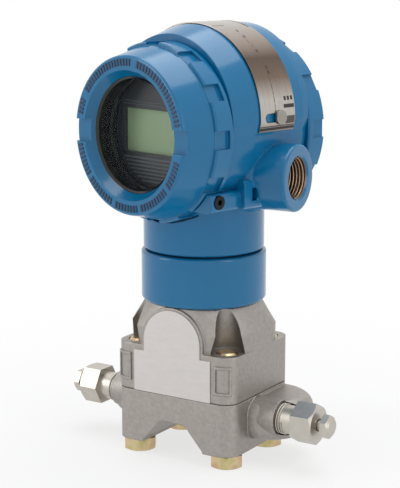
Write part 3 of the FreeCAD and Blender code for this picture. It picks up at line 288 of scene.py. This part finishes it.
def cylinder_mask(tree, axis, centre, radius):
    """One inside a cylinder round an axis of the part frame, and the distance along that axis."""
    turn = axis.to_track_quat("Z", "Y").inverted()
    coordinates = add(tree, "ShaderNodeTexCoord").outputs["Object"]
    move = -(turn @ centre)
    there = add(tree, "ShaderNodeMapping", {"Vector": coordinates, "Location": move, "Rotation": turn.to_euler()})
    flat = add(tree, "ShaderNodeVectorMath", {0: there, 1: (1, 1, 0)}, operation="MULTIPLY")
    length = add(tree, "ShaderNodeVectorMath", {0: flat}, operation="LENGTH").outputs["Value"]
    depth = add(tree, "ShaderNodeVectorMath", {0: there, 1: (0, 0, 1)}, operation="DOT_PRODUCT").outputs["Value"]
    return add(tree, "ShaderNodeMath", {0: length, 1: radius}, operation="LESS_THAN"), depth


def short_mask(tree, axis, centre, radius, side, limit):
    """A cylinder's mask that holds only on one side of a distance along its axis."""
    mask, depth = cylinder_mask(tree, axis, centre, radius)
    kept = add(tree, "ShaderNodeMath", {0: depth, 1: limit}, operation=side)
    return add(tree, "ShaderNodeMath", {0: mask, 1: kept}, operation="MULTIPLY")


def overlay(material, mask, colour, roughness, metallic=0.0):
    """Shows another plain finish where the mask is one."""
    tree = material.node_tree
    output = tree.nodes["Material Output"]
    below = output.inputs["Surface"].links[0].from_socket
    above = add(tree, "ShaderNodeBsdfPrincipled", {
        "Base Color": linear(colour), "Metallic": metallic, "Roughness": roughness})
    mix = add(tree, "ShaderNodeMixShader", {0: mask, 1: below, 2: above})
    tree.links.new(mix.outputs[0], output.inputs["Surface"])


def housing_enamel():
    """The enamel, with bare bronze-grey metal in the open conduit mouth and painted shade, near black, inside the front
    chamber.
    """
    thread_margin, mouth_depth, chamber_margin = 0.4 * MM, 30 * MM, 7 * MM
    material = enamel("gloss_enamel_housing", 0.8)
    tree = material.node_tree
    conduit = mounts["conduit_entry"]
    mouth = short_mask(tree, Vector(conduit["axis"]), Vector(conduit["pos_m"]),
                       conduit["dims"]["r_mm"] * MM + thread_margin, "GREATER_THAN", -mouth_depth)
    overlay(material, mouth, "6B5A4A", 0.35, 1.0)
    glass_radius = reach("front_cover_glass", RIGHT, CENTRE)[1]
    # Painted shade: the front chamber's inside, round the glass, is coloured near black.
    painted_chamber_shade = cylinder_mask(tree, OUT, CENTRE, glass_radius + chamber_margin)[0]
    overlay(material, painted_chamber_shade, "15151A", 0.4)
    return material


def cover_enamel():
    """The enamel, with black anodised metal inside the window's opening."""
    material = enamel("gloss_enamel_cover", 0.6)
    tree = material.node_tree
    radius = reach("front_cover_glass", RIGHT, CENTRE)[1]
    front = reach("front_cover_glass", OUT, CENTRE)[1]
    opening = short_mask(tree, OUT, CENTRE, radius + 0.2 * MM, "LESS_THAN", front + 2.9 * MM)
    skirt = short_mask(tree, OUT, CENTRE, radius + 3.4 * MM, "LESS_THAN", front - 1 * MM)
    both = add(tree, "ShaderNodeMath", {0: opening, 1: skirt}, operation="MAXIMUM")
    overlay(material, both, "0D0D11", 0.16)
    return material


cast_steel = cast_stainless()
blue = enamel("gloss_enamel_collar", 0.5)
valve_steel = turned_metal("turned_stainless_valve", 0.5, "X")
# Duller than the valves, so that small screws read darker than their surroundings.
bright_steel = turned_metal("turned_stainless_screw", 0.4, "Z", "8E8A84", "A5A19B")
# Near black with a soft metal sheen.
black_steel = turned_metal("blackened_alloy_steel", 0.4, "X", "26282B", "34363A", 0.4)
# Glossy black, so that the ring behind the glass catches the lamps.
mask_black = polymer("blackened_retainer", "0A0A0D", "121216", 0.16, depth=0.004)
# Dull black rubber.
nitrile = polymer("nitrile_rubber", "141416", "1D1D20", 0.6)
# Waxy off-white.
fluoropolymer = polymer("white_fluoropolymer", "DCD9D2", "E8E6E0", 0.5)
# Smooth black face round the display, and its slightly greyer ribs.
bezel_black = polymer("moulded_black_polycarbonate", "15181B", "1D2125", 0.35, 0.5, 0.004)
rib_grey = polymer("moulded_rib_crests", "484F55", "555C62", 0.4, 0.5, 0.004)
# Matt fillings in the name plate's etching.
etch_black = polymer("black_etch_fill", "1E1A18", "2B2623", 0.5)
etch_brown = polymer("brown_etch_fill", "4A4039", "5B5048", 0.45)
# The enamel where a small raised stroke shades it: navy.
stroke_blue = polymer("enamel_in_shade", "052C4E", "08345A", 0.35)
# Dark moulded plastics of the terminals and the buttons.
terminal_black = polymer("moulded_phenolic", "1A1A1B", "242425", 0.5)
button_grey = polymer("moulded_button_nylon", "2C2C2F", "39393C", 0.5)
board_green = circuit_board()
plate_steel = brushed_plate()
zinc = yellow_zinc()
# Warm yellow pillars.
brass = turned_metal("turned_brass", 0.4, "Z", "A89158", "C0A86C", 0.28)

FINISHES = {
    cast_steel: ["coplanar_flange", "sensor_module"],
    zinc: ["flange_bolt_1", "flange_bolt_2", "flange_bolt_3", "flange_bolt_4", "conduit_plug"],
    valve_steel: ["vent_seat_high", "vent_seat_low", "vent_stem_high", "vent_stem_low"],
    black_steel: ["housing_set_screw", "cover_jam_screw"],
    bright_steel: [
        "terminal_screw_1", "terminal_screw_2", "terminal_screw_3", "ground_screw", "name_plate_screw_right",
        "name_plate_screw_left", "isolator_high", "isolator_low", "pressure_cell",
    ],
    blue: ["sensor_collar", "rear_cover"],
    housing_enamel(): ["housing"],
    cover_enamel(): ["front_cover"],
    etched_label(): ["module_label"],
    plate_steel: ["name_plate"],
    mask_black: ["glass_retainer"],
    nitrile: ["neck_seal", "front_cover_oring", "rear_cover_oring"],
    fluoropolymer: ["process_seal_high", "process_seal_low"],
    bezel_black: ["display_bezel"],
    display_film(): ["display_panel"],
    board_green: ["sensor_board", "display_board", "electronics_board"],
    terminal_black: ["terminal_block"],
    button_grey: ["zero_button", "span_button"],
    window_glass(): ["front_cover_glass"],
    brass: [
        "board_standoff_1", "board_standoff_2", "board_standoff_3", "display_pillar_right", "display_pillar_left",
    ],
}
for finish, names in FINISHES.items():
    for name in names:
        nodes[name].data.materials.clear()
        nodes[name].data.materials.append(finish)

# ---- geometry trees for what repeats ----


def new_tree(name, inputs):
    """An empty geometry tree with named inputs for its sizes."""
    tree = bpy.data.node_groups.new(name, "GeometryNodeTree")
    tree.interface.new_socket("Geometry", in_out="OUTPUT", socket_type="NodeSocketGeometry")
    for label, kind in inputs.items():
        tree.interface.new_socket(label, in_out="INPUT", socket_type="NodeSocket" + kind)
    return tree, add(tree, "NodeGroupInput").outputs


def finish_tree(tree, shape):
    """Ends a tree with real geometry and its material."""
    real = add(tree, "GeometryNodeRealizeInstances", {0: shape})
    material = tree.interface.new_socket("Material", in_out="INPUT", socket_type="NodeSocketMaterial")
    last = add(tree, "NodeGroupInput").outputs["Material"]
    painted = add(tree, "GeometryNodeSetMaterial", {"Geometry": real, "Material": last})
    add(tree, "NodeGroupOutput", {0: painted})


def grow(tree, values):
    """Runs a tree with the given inputs and gives back its plain mesh."""
    holder = bpy.data.objects.new("holder", bpy.data.meshes.new("holder"))
    bpy.context.collection.objects.link(holder)
    modifier = holder.modifiers.new("shape", "NODES")
    modifier.node_group = tree
    for item in tree.interface.items_tree:
        if item.in_out == "INPUT" and item.name in values:
            modifier[item.identifier] = values[item.name]
    view = bpy.context.evaluated_depsgraph_get()
    mesh = bpy.data.meshes.new_from_object(holder.evaluated_get(view))
    bpy.data.objects.remove(holder)
    return mesh


def piece(name, meshes, body, material, matrix=Matrix.Identity(4)):
    """Joins meshes, placed by a matrix, into one object that rides on a body."""
    form = bmesh.new()
    for mesh in meshes:
        form.from_mesh(mesh)
    bmesh.ops.transform(form, matrix=matrix, verts=form.verts)
    data = bpy.data.meshes.new(name)
    form.to_mesh(data)
    form.free()
    data.materials.clear()
    data.materials.append(material)
    made = bpy.data.objects.new(name, data)
    bpy.context.collection.objects.link(made)
    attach(made, body)


def row_of_points(tree, given, first):
    """Points that a tree places itself, and the value that grows from one to the next."""
    points = add(tree, "GeometryNodeMeshLine", {"Count": given["Count"], "Offset": (0, 0, 0)})
    index = add(tree, "GeometryNodeInputIndex")
    return points, add(tree, "ShaderNodeMath", {0: index, 1: given["Step"], 2: given[first]}, operation="MULTIPLY_ADD")


def dash_tree():
    """Raised blocks on an arc about Z, evenly spaced from a first angle."""
    tree, given = new_tree("arc_of_dashes", {
        "Count": "Int", "Radius": "Float", "First angle": "Float", "Step": "Float", "Size": "Vector", "Height": "Float",
    })
    points, angle = row_of_points(tree, given, "First angle")
    turn = add(tree, "ShaderNodeCombineXYZ", {"Z": angle})
    spoke = add(tree, "ShaderNodeCombineXYZ", {"X": given["Radius"], "Z": given["Height"]})
    there = add(tree, "ShaderNodeVectorRotate", {"Vector": spoke, "Angle": angle}, rotation_type="Z_AXIS")
    moved = add(tree, "GeometryNodeSetPosition", {"Geometry": points, "Position": there})
    block = add(tree, "GeometryNodeMeshCube", {"Size": given["Size"]})
    copies = add(tree, "GeometryNodeInstanceOnPoints", {"Points": moved, "Instance": block, "Rotation": turn})
    finish_tree(tree, copies)
    return tree


def thread_tree():
    """Helical ridge along Z with a triangular section."""
    tree, given = new_tree("thread_ridge", {
        "Turns": "Float", "Radius": "Float", "Length": "Float", "Depth": "Float",
    })
    helix = add(tree, "GeometryNodeCurveSpiral", {
        "Resolution": 48, "Rotations": given["Turns"], "Start Radius": given["Radius"],
        "End Radius": given["Radius"], "Height": given["Length"],
    })
    section = add(tree, "GeometryNodeCurvePrimitiveCircle", {"Resolution": 4, "Radius": given["Depth"]})
    ridge = add(tree, "GeometryNodeCurveToMesh", {"Curve": helix, "Profile Curve": section})
    finish_tree(tree, ridge)
    return tree


def rib_tree():
    """Level ribs across a round face, each as long as the face is wide there."""
    tree, given = new_tree("level_ribs", {
        "Count": "Int", "First": "Float", "Step": "Float", "Face radius": "Float", "Width": "Float", "Height": "Float",
    })
    points, level = row_of_points(tree, given, "First")
    there = add(tree, "ShaderNodeCombineXYZ", {"Y": level})
    moved = add(tree, "GeometryNodeSetPosition", {"Geometry": points, "Position": there})
    face = add(tree, "ShaderNodeMath", {0: given["Face radius"], 1: 2.0}, operation="POWER")
    rise = add(tree, "ShaderNodeMath", {0: level, 1: 2.0}, operation="POWER")
    left = add(tree, "ShaderNodeMath", {0: face, 1: rise}, operation="SUBTRACT")
    half = add(tree, "ShaderNodeMath", {0: left}, operation="SQRT")
    whole = add(tree, "ShaderNodeMath", {0: half, 1: 2.0}, operation="MULTIPLY")
    size = add(tree, "ShaderNodeCombineXYZ", {"X": whole, "Y": given["Width"], "Z": given["Height"]})
    bar = add(tree, "GeometryNodeMeshCube", {"Size": (1, 1, 1)})
    copies = add(tree, "GeometryNodeInstanceOnPoints", {"Points": moved, "Instance": bar, "Scale": size})
    finish_tree(tree, copies)
    return tree


def make_rim_dashes():
    """Eight groups of plain raised dashes on the front rim, above and below its two slots."""
    middle_radius, step = 36.2 * MM, math.radians(3.4)
    sink = 0.1 * MM
    rim = reach("front_cover", OUT, CENTRE)[1]
    shared = {
        "Radius": middle_radius, "Size": (3.4 * MM, 1.2 * MM, 0.5 * MM), "Height": rim + sink, "Step": step,
        "Material": stroke_blue,
    }
    # First angle of each group, in degrees from the display's right, and its count of dashes.
    groups = [(13, 20), (87, 18), (155, 4), (192, 8), (222, 9), (256, 8), (286, 10), (323, 7)]
    tree = dash_tree()
    meshes = [grow(tree, {**shared, "Count": count, "First angle": math.radians(first)}) for first, count in groups]
    piece("rim_dashes", meshes, "front_cover", stroke_blue, HOUSING)


def make_conduit_thread(tree):
    """Pipe thread, 14 turns to the inch, inside the open conduit mouth."""
    pitch, end_margin, ridge_depth = 25.4 / 14 * MM, 1.5, 0.85 * MM
    conduit = mounts["conduit_entry"]
    radius, length = conduit["dims"]["r_mm"] * MM, (conduit["dims"]["length_mm"] - end_margin) * MM
    bronze, shades, shader = new_material("bronzed_thread_cuts", Metallic=1.0, Roughness=0.28)
    mottle(shades, shader, place(shades), "8A7461", "A8927C", 3)
    ridge = grow(tree, {
        "Turns": length / pitch, "Radius": radius, "Length": length, "Depth": ridge_depth, "Material": bronze,
    })
    inside = along_axis(Vector(conduit["axis"]), Vector(conduit["pos_m"])) @ Matrix.Translation((0, 0, -length / 2))
    piece("conduit_thread", [ridge], "housing", bronze, inside)


def make_bezel_ribs():
    """Fine level ribs on the display's face, seven below its panel and two above."""
    face, radius = reach("display_bezel", OUT, CENTRE)[1], reach("display_bezel", RIGHT, CENTRE)[1]
    foot, head = reach("display_panel", UP, CENTRE)
    tree = rib_tree()
    shared = {"Face radius": radius - 2.2 * MM, "Height": 0.5 * MM, "Material": rib_grey}
    low = grow(tree, {**shared, "Count": 7, "First": foot - 1.6 * MM, "Step": -1.9 * MM, "Width": 0.8 * MM})
    high = grow(tree, {**shared, "Count": 2, "First": head + 1.2 * MM, "Step": 1.5 * MM, "Width": 0.5 * MM})
    place_on = HOUSING @ Matrix.Translation((0, 0, face))
    piece("bezel_ribs", [low, high], "housing", rib_grey, place_on)


def drape(node, rows, lift):
    """Thin sheet that lies on a node's surface: rows of points outside it and the way inwards from each."""
    sink = 0.1 * MM
    mesh = nodes[node].data
    surface = BVHTree.FromPolygons([v.co for v in mesh.vertices], [list(f.vertices) for f in mesh.polygons])
    form = bmesh.new()

    def grid(depth):
        return [[form.verts.new(surface.ray_cast(start, inwards)[0] - inwards * depth) for start, inwards in row]
                for row in rows]

    top, bottom = grid(lift), grid(-sink)
    down, across = range(len(rows) - 1), range(len(rows[0]) - 1)
    for i in down:
        for j in across:
            form.faces.new([top[i][j], top[i + 1][j], top[i + 1][j + 1], top[i][j + 1]])
            form.faces.new([bottom[i][j], bottom[i][j + 1], bottom[i + 1][j + 1], bottom[i + 1][j]])
    for edge in (0, -1):
        for j in across:
            form.faces.new([top[edge][j], top[edge][j + 1], bottom[edge][j + 1], bottom[edge][j]])
        for i in down:
            form.faces.new([top[i][edge], bottom[i][edge], bottom[i + 1][edge], top[i + 1][edge]])
    bmesh.ops.recalc_face_normals(form, faces=form.faces)
    sheet = bpy.data.meshes.new(node + "_sheet")
    form.to_mesh(sheet)
    form.free()
    return sheet


def steps(low, high, size):
    """Even steps from low to high, no longer than size."""
    count = max(1, math.ceil(abs(high - low) / size))
    return [low + (high - low) * i / count for i in range(count + 1)]


def plate_mark(first, last, back, front):
    """A mark on the name plate between two angles from its crown and two lengths along the barrel."""
    clear_of_plate, lift, bend_step = 60 * MM, 0.03 * MM, 4
    rows = []
    for angle in steps(first, last, bend_step):
        outwards = RIGHT * math.sin(math.radians(angle)) + UP * math.cos(math.radians(angle))
        outside = CENTRE + outwards * clear_of_plate
        rows.append([(outside + OUT * along * MM, -outwards) for along in (back, front)])
    return drape("name_plate", rows, lift)


def make_plate_marks():
    """Plain etched lines and bars on the name plate, in degrees from its crown and millimetres."""
    lines = [plate_mark(24, 77, -3.4, -3.0), plate_mark(13, 13.7, -1.6, 7.0), plate_mark(-77, -24, -3.4, -3.0),
             plate_mark(84.6, 85.3, -17.3, 7.3), plate_mark(-85.3, -84.6, -17.3, 7.3),
             plate_mark(79.5, 84, -17.2, -10.6)]
    piece("name_plate_lines", lines, "name_plate", etch_brown)
    bars = [plate_mark(first, first + 7, -17.0, -15.4) for first in (-22, -14, -6, 2, 10)]
    bars += [plate_mark(first, first + 2.2, -4.8, -3.8) for first in (20, 26, 38, 49, 52)]
    bars += [plate_mark(68, 70.4, -16.4 + 2.4 * i, -14.8 + 2.4 * i) for i in range(3)]
    bars += [plate_mark(72.6, 74.8, -17.0, -9.4), plate_mark(85.6, 87.2, -17.4, 7.4)]
    piece("name_plate_bars", bars, "name_plate", etch_black)


def corner_skin(side, along, height):
    """A point outside the module's front corner, from a length along its skin, and the way inwards."""
    corner_radius, front, clear_of_skin = 8.6 * MM, 30.9 * MM, 30 * MM
    flat = reach("sensor_module", Vector((1, 0, 0)), Vector())[1] - corner_radius
    bend = max(0.0, along - flat) / corner_radius
    outwards = Vector((side * math.sin(bend), -math.cos(bend), 0))
    middle = Vector((side * min(along, flat), corner_radius - front, height))
    return middle + outwards * clear_of_skin, -outwards


def make_corner_frames():
    """Bare raised rectangles on the module's two front corners."""
    line, rise = 1.3 * MM, 0.8 * MM
    start, end = 25.4 * MM, 35.0 * MM
    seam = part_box("sensor_module")[0].z
    low, high = seam + 5.2 * MM, seam + 20.2 * MM
    bars = [(start, end, low, low + line), (start, end, high - line, high),
            (start, start + line, low + line, high - line), (end - line, end, low + line, high - line)]
    meshes = []
    for side in (1, -1):
        for first, last, foot, head in bars:
            rows = [[corner_skin(side, along, height) for height in (foot, head)] for along in steps(first, last, MM)]
            meshes.append(drape("sensor_module", rows, rise))
    piece("corner_frames", meshes, "module", cast_steel)


def make_valve_threads(tree):
    """Pipe thread, 18 turns to the inch, where each valve enters the flange."""
    turns, pitch, boss_face = 2.5, 25.4 / 18 * MM, 50.7 * MM
    shape = {"Turns": turns, "Radius": 7.6 * MM, "Length": turns * pitch, "Depth": 0.5 * MM, "Material": valve_steel}
    for name, side in (("high", 1), ("low", -1)):
        joint = joints["vent_stem_%s_turn" % name]
        foot = Vector((side * boss_face, joint["pos_m"][1], joint["pos_m"][2]))
        piece("valve_thread_" + name, [grow(tree, shape)], "module", valve_steel,
              along_axis(Vector(joint["axis"]), foot))


thread = thread_tree()
make_rim_dashes()
make_conduit_thread(thread)
make_bezel_ribs()
make_plate_marks()
make_corner_frames()
make_valve_threads(thread)

# ---- studio ----


def seen_directly(tree):
    """One for rays that show the background itself, in the picture, in glass or in metal."""
    path = add(tree, "ShaderNodeLightPath")
    through = add(tree, "ShaderNodeMath", {
        0: path.outputs["Is Camera Ray"], 1: path.outputs["Is Transmission Ray"]}, operation="MAXIMUM")
    return add(tree, "ShaderNodeMath", {0: through, 1: path.outputs["Is Glossy Ray"]}, operation="MAXIMUM")


def make_studio():
    """Pale floor and white surroundings."""
    floor_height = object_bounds()[0].z
    bpy.ops.mesh.primitive_plane_add(size=12, location=(0, 0, floor_height))
    floor = bpy.context.object
    floor.name = "floor"
    paper, tree, shader = new_material("white_paper_floor", Roughness=0.9)
    shader.inputs["Base Color"].default_value = linear("F4F4F4")
    coordinates = add(tree, "ShaderNodeTexCoord").outputs["Object"]
    distance = add(tree, "ShaderNodeVectorMath", {0: coordinates}, operation="LENGTH")
    # Near the object the paper keeps its shadow; farther out it is evenly white.
    share = add(tree, "ShaderNodeMapRange", {
        "Value": distance.outputs["Value"], "From Min": 0.1, "From Max": 0.34, "To Min": 0.72, "To Max": 1.0,
    }, interpolation_type="SMOOTHSTEP")
    seen = seen_directly(tree)
    both = add(tree, "ShaderNodeMath", {0: seen, 1: share}, operation="MULTIPLY")
    white = add(tree, "ShaderNodeEmission", {"Color": linear("FFFFFF"), "Strength": 1.0})
    mix = add(tree, "ShaderNodeMixShader", {0: both, 1: shader, 2: white})
    tree.links.new(mix.outputs[0], tree.nodes["Material Output"].inputs["Surface"])
    floor.data.materials.append(paper)

    world = bpy.data.worlds.new("studio")
    bpy.context.scene.world = world
    world.use_nodes = True
    tree = world.node_tree
    strength = add(tree, "ShaderNodeMapRange", {"Value": seen_directly(tree), "To Min": 0.4, "To Max": 1.0})
    tree.links.new(strength.outputs[0], tree.nodes["Background"].inputs["Strength"])
    tree.nodes["Background"].inputs["Color"].default_value = linear("FFFFFF")


def make_lamp(name, place_at, aim, size, power):
    """A soft rectangular lamp that points at a spot on the object."""
    data = bpy.data.lights.new(name, "AREA")
    data.shape, data.size, data.size_y, data.energy = "RECTANGLE", size[0], size[1], power
    lamp = bpy.data.objects.new(name, data)
    lamp.location = place_at
    lamp.rotation_euler = (Vector(place_at) - Vector(aim)).to_track_quat("Z", "Y").to_euler()
    bpy.context.collection.objects.link(lamp)


def make_camera():
    """Long lens at a low three-quarter view from the display's right."""
    data = bpy.data.cameras.new("camera")
    data.sensor_width, data.lens = 36.0, 108.4
    camera = bpy.data.objects.new("camera", data)
    camera.location = (0.403, -0.6394, 0.2566)
    target = Vector((-0.0017, -0.0011, 0.1031))
    camera.rotation_euler = (camera.location - target).to_track_quat("Z", "Y").to_euler()
    bpy.context.collection.objects.link(camera)
    bpy.context.scene.camera = camera


make_studio()
make_lamp("overhead_lamp", (0.0, 0.1, 1.0), (0, 0, 0.12), (0.9, 0.9), 6.5)
make_lamp("left_lamp", (-0.75, -0.75, 0.45), (0, 0, 0.12), (0.35, 0.8), 2.6)
make_lamp("right_lamp", (1.0, -0.25, 0.4), (0, 0, 0.12), (0.3, 0.8), 1.6)
make_camera()
bpy.context.scene.view_settings.view_transform = "Standard"
